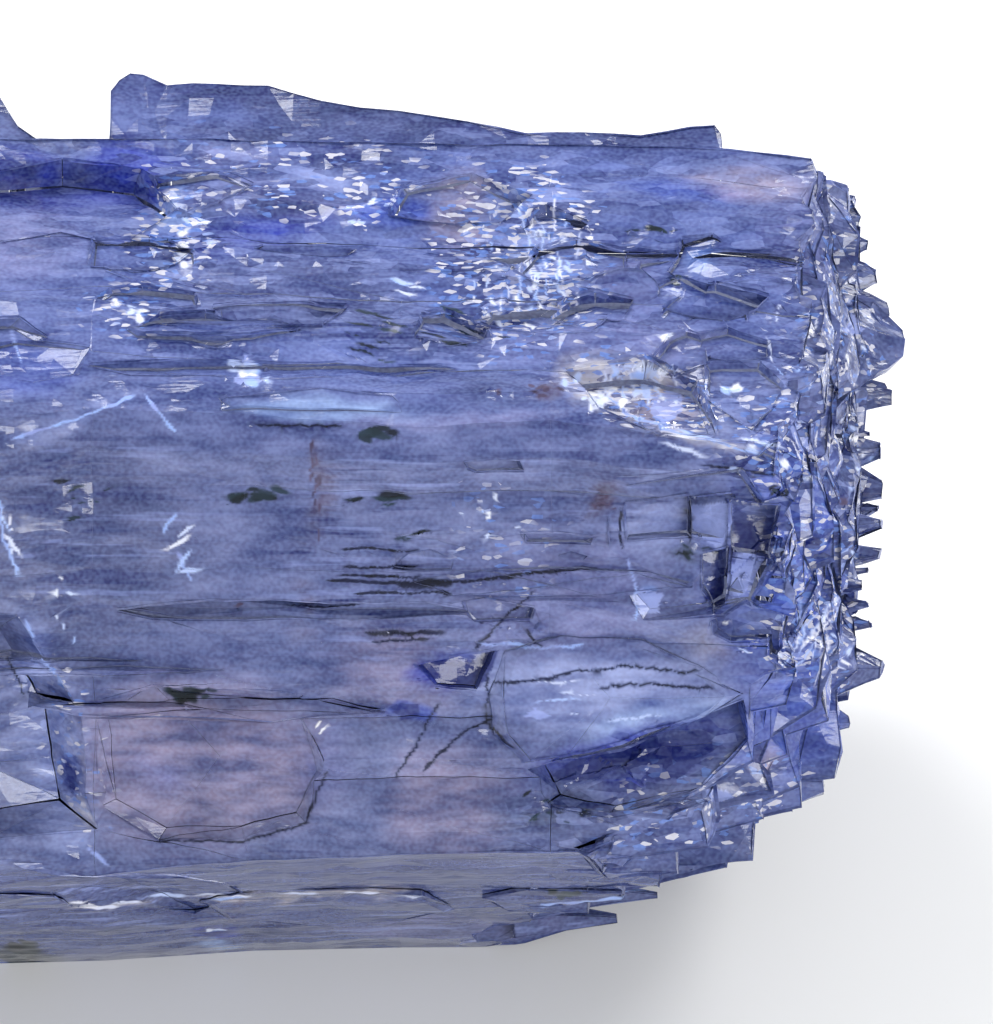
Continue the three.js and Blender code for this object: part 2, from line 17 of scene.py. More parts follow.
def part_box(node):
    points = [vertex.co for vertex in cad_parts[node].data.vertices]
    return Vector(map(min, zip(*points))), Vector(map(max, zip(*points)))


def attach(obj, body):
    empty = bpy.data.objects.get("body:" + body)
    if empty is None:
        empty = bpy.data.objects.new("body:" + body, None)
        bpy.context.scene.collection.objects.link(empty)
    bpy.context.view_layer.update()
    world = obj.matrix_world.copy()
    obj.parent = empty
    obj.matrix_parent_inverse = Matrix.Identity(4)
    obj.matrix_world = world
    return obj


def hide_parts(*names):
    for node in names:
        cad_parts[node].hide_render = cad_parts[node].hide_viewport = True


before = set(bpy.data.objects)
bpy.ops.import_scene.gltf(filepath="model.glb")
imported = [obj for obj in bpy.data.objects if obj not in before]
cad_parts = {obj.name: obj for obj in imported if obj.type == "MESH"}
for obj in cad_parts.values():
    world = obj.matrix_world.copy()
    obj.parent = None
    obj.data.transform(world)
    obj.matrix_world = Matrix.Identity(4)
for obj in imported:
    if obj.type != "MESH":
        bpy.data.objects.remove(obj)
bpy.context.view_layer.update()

MM = 0.001

# The photo: the camera's height, the real size of a pixel, and two pixels that the frame fixes
LOOK_UP = math.radians(47)
PIXEL = 0.01 * MM
PHOTO_WIDTH = 993
PHOTO_HEIGHT = 1024
TIP_PIXEL = 906  # column of the growth end's longest tip
CREST_PIXEL = 73  # row of the far layer's hooked lip
LENS = 500.0
SENSOR = 36.0

TOWARDS = Vector((0, -math.cos(LOOK_UP), math.sin(LOOK_UP)))  # from the crystal to the camera
UPWARDS = Vector((0, math.sin(LOOK_UP), math.cos(LOOK_UP)))  # up in the photo

crystal_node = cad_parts["crystal"]
LOW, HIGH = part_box("crystal")
CREST_RISE = max(vertex.co.dot(UPWARDS) for vertex in crystal_node.data.vertices)

# Display colours of the crystal's parts
DEEP = (24, 40, 164)
NAVY = (26, 34, 104)
COBALT = (58, 84, 196)
AZURE = (112, 150, 235)
STEEL = (76, 94, 172)
SLATE = (104, 113, 166)
DUSK = (66, 74, 124)
VIOLET = (116, 120, 180)
LILAC = (130, 132, 186)
PINKISH = (142, 134, 172)
MIST = (156, 170, 232)
ICE = (152, 180, 240)
FROST = (232, 230, 242)
PEACH = (214, 194, 192)
CREAM = (172, 166, 174)
BROWN = (88, 76, 104)
SOOT = (28, 34, 38)

# Broad tints that the photo shows: column, row, half width, half height, angle, colour and strength
TINTS = [
    # The top face, from left to right
    (440, 230, 560, 190, 0, STEEL, 0.75),
    (420, 110, 350, 28, 6, NAVY, 0.85),
    (35, 130, 55, 24, 20, DUSK, 0.7),
    (60, 188, 120, 26, 8, DEEP, 1.0),
    (50, 178, 60, 9, 8, NAVY, 1.0),
    (140, 176, 46, 36, 35, DEEP, 0.9),
    (95, 177, 18, 10, 0, NAVY, 0.9),
    (30, 245, 60, 42, 0, LILAC, 0.6),
    (120, 222, 45, 20, 15, MIST, 0.5),
    (178, 222, 18, 42, 10, ICE, 0.6),
    (190, 98, 90, 22, 5, NAVY, 0.5),
    (340, 120, 110, 20, 8, DUSK, 0.6),
    (235, 160, 36, 9, 0, LILAC, 0.7),
    (250, 138, 60, 10, 0, NAVY, 0.9),
    (340, 160, 54, 14, 5, NAVY, 1.0),
    (295, 214, 60, 9, 4, NAVY, 0.9),
    (290, 204, 85, 18, 6, VIOLET, 0.8),
    (325, 190, 36, 14, 10, MIST, 0.8),
    (290, 213, 75, 5, 7, NAVY, 0.8),
    (235, 238, 90, 15, -3, DEEP, 0.8),
    (290, 290, 110, 36, 0, SLATE, 0.7),
    (40, 372, 55, 26, 0, COBALT, 0.45),
    (400, 214, 36, 12, 0, COBALT, 0.9),
    (458, 214, 28, 36, 0, PEACH, 0.35),
    (425, 335, 70, 24, 14, DUSK, 0.55),
    (545, 262, 48, 68, 0, MIST, 0.5),
    (625, 282, 32, 34, 0, VIOLET, 0.7),
    (690, 194, 60, 10, 4, COBALT, 0.7),
    (745, 186, 60, 20, 5, PEACH, 0.35),
    (697, 264, 13, 11, 0, AZURE, 1.0),
    (800, 235, 50, 55, 0, VIOLET, 0.5),
    (848, 250, 22, 60, -10, DUSK, 0.5),
    (610, 345, 110, 24, 0, LILAC, 0.4),
    (515, 388, 60, 26, 0, DUSK, 0.4),
    (545, 392, 16, 14, 0, BROWN, 0.9),
    (622, 392, 56, 26, 20, FROST, 0.95),
    (630, 376, 66, 10, 8, FROST, 0.9),
    (664, 406, 20, 16, 0, PEACH, 0.95),
    (730, 420, 55, 20, 12, MIST, 0.4),
    # The ridge between the top face and the front face
    (325, 412, 92, 10, 2, ICE, 0.75),
    (305, 428, 44, 3, 0, NAVY, 0.8),
    (85, 420, 62, 9, -20, MIST, 0.5),
    (470, 426, 110, 9, 0, LILAC, 0.5),
    (690, 440, 60, 7, 14, FROST, 0.6),
    # The front face
    (70, 545, 130, 110, 0, (84, 88, 124), 0.5),
    (100, 500, 85, 32, -5, DUSK, 0.5),
    (322, 484, 10, 46, 0, BROWN, 0.7),
    (312, 605, 8, 68, 0, BROWN, 0.4),
    (598, 499, 13, 14, 0, BROWN, 1.0),
    (560, 600, 90, 60, 0, VIOLET, 0.6),
    (205, 758, 122, 78, 0, PINKISH, 0.95),
    (390, 668, 60, 42, 0, PINKISH, 0.6),
    (455, 800, 60, 58, -35, PINKISH, 0.8),
    (62, 735, 30, 112, -14, MIST, 1.0),
    (79, 768, 11, 26, -18, DEEP, 0.7),
    (88, 806, 10, 18, 20, FROST, 0.7),
    (160, 768, 18, 20, 20, STEEL, 0.6),
    (325, 760, 20, 40, 20, STEEL, 0.4),
    (455, 667, 42, 15, -12, DEEP, 0.9),
    (408, 708, 18, 9, 0, COBALT, 0.8),
    (590, 690, 110, 42, 4, MIST, 0.65),
    (640, 715, 75, 16, -12, ICE, 0.5),
    (735, 660, 60, 9, 14, CREAM, 0.5),
    (628, 754, 96, 28, -14, DEEP, 1.0),
    (650, 746, 54, 14, -14, NAVY, 1.0),
    (545, 802, 62, 30, -20, DUSK, 0.8),
    (552, 806, 40, 14, -20, SOOT, 0.5),
    (590, 780, 40, 6, 8, MIST, 0.5),
    (650, 850, 85, 34, -12, STEEL, 0.7),
    (780, 806, 45, 22, -10, STEEL, 0.7),
    (782, 728, 60, 44, 0, COBALT, 0.8),
    (716, 768, 18, 12, 0, MIST, 0.7),
    (765, 752, 9, 18, 0, PEACH, 0.6),
    # The stepped breaks at the right
    (790, 570, 80, 140, 0, COBALT, 0.85),
    (650, 526, 32, 20, 0, MIST, 0.6),
    (705, 524, 21, 19, 0, MIST, 1.0),
    (748, 535, 20, 32, 35, NAVY, 0.9),
    (709, 583, 9, 25, 0, NAVY, 1.0),
    (680, 551, 24, 9, 10, SOOT, 0.5),
    (645, 598, 12, 12, 0, AZURE, 0.6),
    (735, 577, 13, 26, 10, MIST, 0.8),
    (690, 608, 60, 8, 5, NAVY, 0.5),
    (800, 560, 34, 60, 20, COBALT, 0.5),
    (825, 650, 32, 28, 0, STEEL, 0.6),
    (852, 548, 20, 34, 0, SLATE, 0.7),
    (862, 420, 40, 240, 0, DUSK, 0.7),
    # The leaning face under the front face
    (400, 910, 520, 66, 0, DUSK, 0.8),
    (110, 878, 130, 13, 0, NAVY, 0.55),
    (420, 866, 190, 11, 0, NAVY, 0.5),
    (300, 925, 320, 12, 0, DUSK, 0.6),
    (110, 960, 160, 8, 0, NAVY, 0.5),
    (310, 893, 110, 4, -2, CREAM, 0.8),
    (110, 906, 52, 4, -4, CREAM, 0.5),
    (216, 935, 28, 6, 0, DEEP, 1.0),
    (212, 948, 17, 6, 0, ICE, 0.8),
    (238, 910, 6, 16, 0, BROWN, 0.6),
    (24, 962, 26, 12, 15, SOOT, 1.0),
    (450, 932, 120, 12, 0, LILAC, 0.5),
]

# Places full of small fractures, places with strong growth lines, and places full of glints, which are
# painted highlights: the last number is the strength
FRACTURED = [
    (440, 250, 480, 140, 0, 0.62),
    (520, 262, 90, 90, 0, 1.0),
    (175, 240, 50, 130, 0, 0.9),
    (330, 200, 130, 50, 5, 0.7),
    (640, 395, 90, 40, 20, 1.0),
    (640, 755, 95, 30, -14, 0.9),
    (250, 165, 240, 34, 5, 0.75),
    (800, 520, 100, 190, 0, 1.0),
    (810, 280, 80, 140, 0, 0.8),
    (650, 800, 150, 60, -12, 0.7),
    (520, 605, 40, 36, 0, 0.5),
    (60, 730, 34, 110, -14, 0.5),
]
STREAKED = [
    (385, 545, 100, 110, 0, 1.0),
    (640, 500, 160, 50, 8, 0.7),
    (100, 520, 120, 100, 0, 0.6),
    (300, 900, 400, 50, 0, 1.0),
    (415, 335, 110, 40, 8, 1.0),
    (300, 290, 120, 40, 0, 0.6),
]
# painted highlights: where the material paints its glints
SPARKLING = [
    (520, 262, 80, 90, 0, 1.0),
    (178, 235, 34, 60, 0, 0.9),
    (135, 312, 40, 26, 0, 0.8),
    (375, 200, 30, 30, 0, 0.8),
    (640, 392, 70, 34, 20, 1.0),
    (300, 180, 150, 50, 5, 0.3),
    (300, 200, 60, 20, 0, 0.6),
    (780, 440, 60, 50, 0, 0.7),
    (815, 600, 60, 90, 0, 0.8),
    (835, 350, 50, 150, 0, 0.6),
    (700, 800, 110, 50, -12, 0.45),
    (80, 740, 30, 90, -14, 0.5),
    (500, 540, 60, 60, 0, 0.3),
]

# Small marks: each name's colours run from the first to the second; glints and needle glints are painted
# highlights
MARK_COLOURS = {
    "dark_flecks": ((8, 14, 16), (36, 54, 66)),
    "brown_specks": ((58, 48, 72), BROWN),
    "dark_lines": ((4, 5, 10), (20, 26, 60)),
    "pale_lines": ((138, 150, 208), ICE),
    # painted highlights along needle-shaped fractures and fluted relief
    "needles": (ICE, (235, 236, 250)),
    # painted highlights: bright specks where small fractures catch the light
    "glints": (ICE, (252, 252, 255)),
}

# A cluster of marks is its place, its spread across and down, how many marks, and their half length,
# half width, angle and how far that varies.
CLUSTERS = {
    # painted highlights, as clusters of bright specks
    "glints": [
        (140, 312, 22, 16, 10, 4, 2.5, 20, 60), (190, 240, 10, 26, 9, 4, 2.5, 10, 60),
        (255, 376, 16, 12, 9, 6, 4, 30, 80), (392, 205, 18, 5, 6, 4, 2, 0, 30),
        (362, 225, 7, 3, 2, 4, 2, 0, 20), (410, 285, 32, 8, 4, 9, 1.5, 14, 5),
        (540, 240, 26, 24, 16, 4, 1.5, 80, 40), (490, 290, 12, 38, 12, 4, 1.5, 80, 40),
        (530, 300, 12, 32, 12, 4, 2, 80, 50), (557, 285, 8, 26, 8, 4, 1.5, 80, 40),
        (612, 388, 40, 20, 24, 4, 2.5, 30, 90), (640, 374, 14, 6, 6, 6, 3, 0, 60),
        (666, 341, 6, 6, 3, 5, 3, 60, 60), (725, 391, 7, 6, 4, 5, 3, 0, 60), (727, 473, 4, 3, 2, 4, 2, 0, 30),
        (748, 450, 8, 4, 3, 5, 2.5, 30, 20), (774, 467, 7, 5, 3, 5, 2.5, 40, 10),
        (795, 480, 7, 3, 2, 4, 2.5, 20, 20), (851, 556, 4, 6, 2, 5, 2, 45, 20),
        (850, 400, 16, 70, 10, 4, 2, 60, 60), (862, 470, 8, 20, 4, 4, 2, 60, 60),
        (845, 655, 18, 20, 7, 4, 2, 70, 40), (735, 640, 30, 14, 6, 5, 1.5, 10, 20),
        (213, 935, 12, 2, 3, 6, 1.6, 0, 5), (75, 610, 10, 60, 6, 3, 1.5, 60, 40),
        (320, 720, 8, 6, 2, 5, 1.5, 110, 10), (500, 520, 36, 26, 7, 2.4, 1.4, 0, 80),
    ],
    # painted highlights along needle-shaped fractures and fluted relief
    "needles": [
        (812, 640, 22, 22, 12, 20, 1.1, 115, 28), (540, 262, 40, 55, 18, 16, 1.1, 88, 14),
        (640, 385, 45, 20, 14, 9, 1.6, 40, 50), (700, 450, 40, 12, 6, 18, 1.6, 14, 6),
        (195, 545, 10, 26, 4, 10, 1.6, 120, 50), (22, 545, 6, 40, 5, 10, 1.4, 70, 20),
        (590, 700, 80, 24, 5, 22, 0.9, -4, 6), (300, 893, 100, 4, 8, 14, 1.6, -2, 3),
        (120, 905, 50, 4, 4, 12, 1.6, -4, 4), (800, 350, 50, 120, 12, 9, 0.9, 80, 50),
    ],
    "dark_flecks": [
        (377, 437, 18, 6, 9, 7, 3, 5, 20), (257, 497, 24, 7, 12, 8, 3, 0, 20),
        (392, 498, 28, 4, 9, 10, 2, 0, 8), (405, 533, 28, 4, 6, 8, 1.4, 0, 8),
        (190, 695, 24, 10, 12, 7, 3, 0, 25), (561, 891, 14, 5, 7, 5, 3, 0, 25),
        (777, 492, 10, 5, 6, 5, 2, -20, 15), (20, 957, 18, 9, 16, 8, 4, 10, 20),
        (686, 551, 20, 6, 7, 6, 1.6, 5, 20), (95, 500, 26, 14, 8, 7, 1.4, -10, 12),
        (415, 335, 60, 22, 16, 11, 1.6, 14, 6), (655, 232, 30, 3, 6, 8, 1.6, 4, 8),
        (676, 285, 12, 6, 5, 6, 1.8, 10, 20),
        (545, 805, 30, 16, 8, 6, 1.8, -20, 30),
    ],
    "brown_specks": [
        (496, 395, 3, 3, 2, 2.5, 2, 0, 60), (245, 603, 2, 3, 2, 2.5, 2, 60, 40),
        (846, 498, 6, 2, 3, 4, 1.4, -10, 10), (321, 484, 9, 40, 14, 1.4, 5, 0, 8),
        (598, 499, 9, 9, 8, 4, 1.4, 0, 6), (545, 392, 10, 9, 8, 4, 2, 0, 40),
    ],
}

# Lines: a width in pixels, then the corners
LINES = {
    "dark_lines": [
        (4.0, [(334, 578), (400, 580), (450, 579), (520, 573), (590, 567)]), (10.0, [(404, 582), (450, 581)]),
        (2.6, [(348, 573), (420, 574)]), (2.8, [(360, 591), (450, 590)]), (2.8, [(295, 603), (360, 603)]),
        (7.0, [(370, 631), (444, 631)]), (2.4, [(378, 639), (430, 638)]), (2.2, [(350, 549), (420, 550)]),
        (2.2, [(352, 566), (420, 565)]), (2.2, [(478, 643), (530, 590)]), (2.0, [(525, 628), (538, 640)]),
        (2.8, [(487, 676), (487, 716), (503, 735), (512, 742)]), (2.8, [(495, 678), (545, 676), (570, 668)]),
        (2.4, [(575, 667), (620, 663), (690, 668)]), (2.4, [(600, 684), (650, 680), (705, 684)]),
        (2.8, [(165, 835), (250, 835), (310, 815), (330, 770)]), (2.4, [(425, 765), (465, 725), (490, 716)]),
        (2.6, [(618, 512), (619, 545)]), (2.2, [(683, 505), (684, 540)]), (2.6, [(700, 468), (770, 478)]),
        (2.0, [(265, 428), (345, 428)]), (2.6, [(440, 700), (400, 770)]), (2.4, [(20, 655), (34, 690)]),
    ],
    "pale_lines": [
        (2.0, [(30, 440), (90, 420), (140, 400)]), (2.4, [(155, 400), (170, 415), (182, 432)]),
        (2.2, [(38, 622), (50, 652), (72, 680)]), (2.0, [(10, 500), (18, 540), (28, 565)]),
        (3.0, [(601, 397), (640, 420), (690, 437), (748, 457)]), (2.0, [(487, 640), (540, 645), (578, 640)]),
        (2.6, [(183, 515), (172, 530)]), (2.0, [(187, 555), (197, 575)]), (2.4, [(24, 335), (34, 360)]),
        (3.0, [(626, 562), (632, 585), (633, 615)]), (2.4, [(98, 842), (112, 856)]),
        (2.6, [(545, 905), (620, 895), (720, 868)]), (2.0, [(790, 665), (800, 630), (798, 590)]),
    ],
}

# Single facets that stand out, as corners in pixels, and their colours
OUTLINES = [
    ([(413, 661), (470, 657), (497, 646), (492, 668), (480, 683), (452, 684), (430, 673)], NAVY),
    ([(393, 702), (424, 700), (421, 712), (404, 717)], NAVY),
    ([(728, 505), (749, 520), (765, 534), (764, 547), (755, 564), (749, 550), (735, 540), (727, 528)], NAVY),
    ([(735, 540), (748, 550), (722, 556), (725, 542)], NAVY),
    ([(710, 557), (716, 577), (719, 597), (710, 601), (699, 596), (704, 577)], NAVY),
    ([(605, 744), (650, 737), (704, 723), (708, 742), (680, 771), (652, 776), (620, 764)], NAVY),
    ([(549, 771), (568, 757), (603, 746), (618, 764), (596, 772), (571, 777)], NAVY),
    ([(190, 934), (212, 930), (243, 935), (215, 940)], NAVY),
    ([(70, 752), (84, 762), (89, 786), (76, 782)], NAVY),
    ([(685, 507), (727, 503), (725, 525), (720, 545), (711, 546), (686, 535)], MIST),
    ([(731, 555), (748, 549), (745, 575), (739, 594), (727, 600), (720, 577)], MIST),
    ([(634, 588), (657, 589), (655, 609), (636, 611)], MIST),
    ([(662, 389), (679, 391), (677, 411), (662, 424), (646, 413), (652, 398)], MIST),
    ([(524, 712), (535, 703), (548, 709), (538, 714)], MIST),
    ([(700, 783), (722, 786), (735, 797), (712, 799)], MIST),
    ([(836, 330), (852, 318), (868, 330), (850, 340)], MIST),
    ([(780, 425), (800, 432), (803, 452), (790, 450)], MIST),
    ([(246, 372), (254, 357), (262, 372), (268, 384), (252, 388), (238, 382)], MIST),
]

# Fine mesh of the crystal: the longest edge in each kind of place
FAR_EDGE = 0.7 * MM
NEAR_EDGE = 0.4 * MM
FRACTURED_EDGE = 0.22 * MM
ROOT_EDGE = 0.32 * MM
MARK_EDGE = 0.037 * MM
ROUNDS = 7
MARK_STRENGTH = 0.95
FLAT = math.radians(3)  # neighbouring faces this close to one plane are joined first
CELL = 2  # pixels across a cell of the map that says how fine the mesh is
GROWTH = 1.5  # how fast the mesh gets coarser away from a mark
LEFT_PIXEL = -150  # the near side is made fine from here on
ROOT_BREAK = 1.2 * MM  # how far the broken root end reaches along the prism

# Relief that is too fine for the CAD model
STRIA = 0.012 * MM
FACET = 0.45 * MM  # size of the small facets where the crystal is fractured
FACET_TILT = 0.1
BROAD_WOBBLE = 0.09 * MM  # how far edges of the growth and root ends stray from straight
FINE_WOBBLE = 0.04 * MM
GROWTH_PIXEL = 770  # the growth end's edges are uneven from here on
FACE_WOBBLE = 0.3  # the share of that on the prism's sides
WOBBLE_SEED = 5  # noise vectors differ from run to run without one
RESTING = 0.02 * MM  # what is lower than this stays on the floor

# How the tints and marks are laid on
FACING = 0.05  # how much a normal has to point to the camera to be on the near side
TINT_SOFT = 0.4
MARK_SOFT = 0.3
MARK_SEED = 4
RIM_SEED = 0
DASH = 12  # pixels from one mark of a line to the next
FACET_STRENGTH = 0.85
FACET_CLEAR = 0.7  # how much of the pattern under a single facet its colour hides
FINE_STRAY = 0.12 * MM  # sizes of the noises that make the outlines of tints and marks uneven
MIDDLE_STRAY = 0.14 * MM
BROAD_STRAY = 0.5 * MM

# Optics of the crystal
THROUGH = 0.28  # share of the light that is let through, and the same under a mark
MARK_THROUGH = 0.03
REFRACTION = 1.645
SPECULAR = 0.25
ABSORBED = (0.1, 0.2, 0.7, 1)
DENSITY = 130.0


def linear(colour):
    """A display colour of 0 to 255 as linear light."""
    shares = [part / 255 for part in colour]
    return Vector([part / 12.92 if part < 0.04 else ((part + 0.055) / 1.055) ** 2.4 for part in shares])


def photo_point(column, row, depth=0.0):
    """The point seen at a pixel, this far towards the camera from the plane through the frame's origin."""
    x = HIGH.x - (TIP_PIXEL - column) * PIXEL
    rise = CREST_RISE - (row - CREST_PIXEL) * PIXEL
    return Vector((x, 0, 0)) + UPWARDS * rise + TOWARDS * depth


def pixels_of(points):
    """The columns and rows at which points are seen."""
    columns = TIP_PIXEL - (HIGH.x - points[:, 0]) / PIXEL
    rows = CREST_PIXEL + (CREST_RISE - points @ np.array(UPWARDS)) / PIXEL
    return columns, rows


def ellipse(columns, rows, place, soft):
    """How far each pixel is inside an ellipse, from 0 to 1, with a soft edge."""
    column, row, half_width, half_height, angle = place
    turn = math.radians(angle)
    along = (columns - column) * math.cos(turn) + (rows - row) * math.sin(turn)
    across = (rows - row) * math.cos(turn) - (columns - column) * math.sin(turn)
    distance = np.hypot(along / half_width, across / half_height)
    share = np.clip((1 + soft - distance) / (2 * soft), 0, 1)
    return share * share * (3 - 2 * share)


def strongest(columns, rows, places):
    """The strongest of a list of ellipses at each pixel."""
    masks = [place[5] * ellipse(columns, rows, place[:5], TINT_SOFT) for place in places]
    return np.max(masks, axis=0)


def scattered(cluster, chance):
    """The small marks of a cluster, each as column, row, half length, half width and angle."""
    column, row, spread_across, spread_down, count, long, wide, angle, swing = cluster
    for _ in range(count):
        c = column + spread_across * max(-1.5, min(1.5, chance.gauss(0, 0.6)))
        r = row + spread_down * max(-1.5, min(1.5, chance.gauss(0, 0.6)))
        size = 0.6 + 0.8 * chance.random()
        yield c, r, long * size, wide * size, angle + swing * (2 * chance.random() - 1)


def lined_up(width, corners, chance):
    """A line as a row of narrow marks that overlap."""
    for (c0, r0), (c1, r1) in zip(corners, corners[1:]):
        length = math.hypot(c1 - c0, r1 - r0)
        count = max(1, round(length / DASH))
        for i in range(count):
            share = (i + 0.5) / count
            wide = max(1.6, 0.5 * width * (0.75 + 0.5 * chance.random()))
            angle = math.degrees(math.atan2(r1 - r0, c1 - c0))
            yield c0 + (c1 - c0) * share, r0 + (r1 - r0) * share, 0.85 * length / count, wide, angle


def all_marks():
    """Every small mark, with its colour; the glints among them are painted highlights."""
    chance = random.Random(MARK_SEED)
    marks = []
    for name, (dark, pale) in MARK_COLOURS.items():
        places = [place for cluster in CLUSTERS.get(name, []) for place in scattered(cluster, chance)]
        for width, corners in LINES.get(name, []):
            places += lined_up(width, corners, chance)
        for place in places:
            share = chance.random()
            marks.append((place, linear(dark).lerp(linear(pale), share)))
    return marks


def inside_outline(columns, rows, corners):
    """1 for each pixel inside a closed outline, and 0 outside it."""
    inside = np.zeros(len(columns), dtype=bool)
    for (c0, r0), (c1, r1) in zip(corners, corners[1:] + corners[:1]):
        if r0 != r1:
            crossing = (rows > min(r0, r1)) & (rows <= max(r0, r1))
            inside ^= crossing & (columns < c0 + (rows - r0) * (c1 - c0) / (r1 - r0))
    return inside.astype(float)


def longest_edges(marks):
    """A map of the photo's cells that says how long the mesh's edges may be in each."""
    rows, columns = np.mgrid[0:PHOTO_HEIGHT + CELL:CELL, LEFT_PIXEL:PHOTO_WIDTH + CELL:CELL] + CELL / 2
    flat_columns, flat_rows = columns.ravel(), rows.ravel()
    longest = np.full(len(flat_rows), NEAR_EDGE)
    longest[strongest(flat_columns, flat_rows, FRACTURED) > 0.6] = FRACTURED_EDGE
    longest = longest.reshape(rows.shape)
    chance = random.Random(RIM_SEED)
    rims = [place for corners, _ in OUTLINES for place in lined_up(3, corners + corners[:1], chance)]
    for column, row, long, wide, angle in [place for place, _ in marks] + rims:
        turn = math.radians(angle)
        reach_across = abs(long * math.cos(turn)) + abs(wide * math.sin(turn))
        reach_down = abs(long * math.sin(turn)) + abs(wide * math.cos(turn))
        first = [int((column - reach_across - LEFT_PIXEL) // CELL), int((row - reach_down) // CELL)]
        last = [int((column + reach_across - LEFT_PIXEL) // CELL), int((row + reach_down) // CELL)]
        longest[max(0, first[1]):last[1] + 1, max(0, first[0]):last[0] + 1] = MARK_EDGE
    step = GROWTH * CELL * PIXEL
    for _ in range(round(NEAR_EDGE / step)):
        longest[1:] = np.minimum(longest[1:], longest[:-1] + step)
        longest[:-1] = np.minimum(longest[:-1], longest[1:] + step)
        longest[:, 1:] = np.minimum(longest[:, 1:], longest[:, :-1] + step)
        longest[:, :-1] = np.minimum(longest[:, :-1], longest[:, 1:] + step)
    return longest


def is_near(faces):
    """Whether any of the faces is on the crystal's near side."""
    return any(face.normal.dot(TOWARDS) > FACING for face in faces)


def refine(mesh, longest):
    """Halves every edge that is too long for its place, for a few rounds."""
    for _ in range(ROUNDS):
        mesh.normal_update()
        mesh.edges.ensure_lookup_table()
        ends = np.array([(*edge.verts[0].co, *edge.verts[1].co) for edge in mesh.edges])
        near = np.array([is_near(edge.link_faces) for edge in mesh.edges])
        columns, rows = pixels_of((ends[:, :3] + ends[:, 3:]) / 2)
        across = ((columns - LEFT_PIXEL) // CELL).astype(int)
        down = (rows // CELL).astype(int)
        near &= (across >= 0) & (across < longest.shape[1]) & (down >= 0) & (down < longest.shape[0])
        limit = np.full(len(ends), FAR_EDGE)
        limit[ends[:, 0] < LOW.x + ROOT_BREAK] = ROOT_EDGE
        limit[near] = longest[down[near], across[near]]
        too_long = np.linalg.norm(ends[:, :3] - ends[:, 3:], axis=1) > limit
        long_edges = [mesh.edges[i] for i in np.flatnonzero(too_long)]
        bmesh.ops.subdivide_edges(mesh, edges=long_edges, cuts=1)
        bmesh.ops.triangulate(mesh, faces=[face for face in mesh.faces if len(face.verts) > 3])


def face_directions():
    """Outward directions of the six prism faces."""
    angles = [math.radians(30 + 60 * i) for i in range(6)]
    return [Vector((0, math.cos(angle), math.sin(angle))) for angle in angles]


def stria_height(point, outward, side):
    """How far the growth lines are sunk at a point of a prism face: they run along X and fade in and out."""
    across = point.dot(Vector((1, 0, 0)).cross(outward)) / MM
    along = point.x / MM
    fine = noise.noise(Vector((0.35 * along, 7.0 * across, 7.0 * side)))
    broad = noise.noise(Vector((0.15 * along, 2.6 * across, 7.0 * side + 40)))
    return STRIA * (fine + 1.2 * broad - 1.0)


def facet_height(point):
    """The height of one of many small flat facets, each with a tilt of its own."""
    spot = point / FACET
    spot.x *= 0.6
    _, centres = noise.voronoi(spot)
    tilt = noise.cell_vector(centres[0] * 37.0) - Vector((0.5, 0.5, 0.5))
    return FACET * FACET_TILT * (2 * tilt.dot(spot - centres[0]) - 0.5)


def wobble(point):
    """How far a point strays from the straight edges of the CAD model: most at the prism's ends."""
    growth_end = (point.x - photo_point(GROWTH_PIXEL, 0).x) / (0.6 * MM)
    root_end = (LOW.x + ROOT_BREAK - point.x) / MM
    to_end = max(min(1, growth_end), min(1, root_end), 0)
    share = (FACE_WOBBLE + (1 - FACE_WOBBLE) * to_end) * min(1, point.z / (0.3 * MM))
    broad = noise.noise_vector(point / (0.55 * MM))
    fine = noise.noise_vector(point / (0.17 * MM))
    return share * (BROAD_WOBBLE * broad + FINE_WOBBLE * fine)


def roughen(mesh, fractured):
    """Presses growth lines and small facets into the crystal, and makes its edges uneven."""
    directions = face_directions()
    mesh.normal_update()
    for vertex, strength in zip(mesh.verts, fractured):
        if vertex.co.z < RESTING:
            continue
        height = strength * facet_height(vertex.co)
        if abs(vertex.normal.x) < 0.5:
            side = max(range(len(directions)), key=lambda i: vertex.normal.dot(directions[i]))
            height += stria_height(vertex.co, directions[side], side)
        vertex.co += vertex.normal * height + wobble(vertex.co)


def noise_at(points, size, seed):
    """A smooth random number for each point."""
    spots = points / size + seed * 11.3
    return np.array([noise.noise(Vector(spot)) for spot in spots])


def blend_in(colours, indices, colour, share):
    """Carries some of the colours towards one colour."""
    colours[indices] += (np.array(colour) - colours[indices]) * share[:, None]


def uneven_pixels(points):
    """The pixels of points, strayed a little for small marks and more for broad tints."""
    columns, rows = pixels_of(points)
    columns += 3 * noise_at(points, FINE_STRAY, 1)
    rows += 2 * noise_at(points, FINE_STRAY, 2)
    broad_columns = columns + 20 * noise_at(points, BROAD_STRAY, 3) + 6 * noise_at(points, MIDDLE_STRAY, 4)
    broad_rows = rows + 9 * noise_at(points, BROAD_STRAY, 5) + 4 * noise_at(points, MIDDLE_STRAY, 6)
    return columns, rows, broad_columns, broad_rows


def lay_tints(colours, near_side, columns, rows):
    """Lays the broad tints on the near side."""
    for (*place, colour, strength) in TINTS:
        share = strength * ellipse(columns[near_side], rows[near_side], place, TINT_SOFT)
        blend_in(colours, near_side, linear(colour), share)


def lay_facets(colours, clear, near_side, columns, rows):
    """Lays the single facets on the near side, and keeps how much of the pattern they hide."""
    for corners, colour in OUTLINES:
        share = FACET_STRENGTH * inside_outline(columns[near_side], rows[near_side], corners)
        blend_in(colours, near_side, linear(colour), share)
        clear[near_side] = np.maximum(clear[near_side], FACET_CLEAR * share)


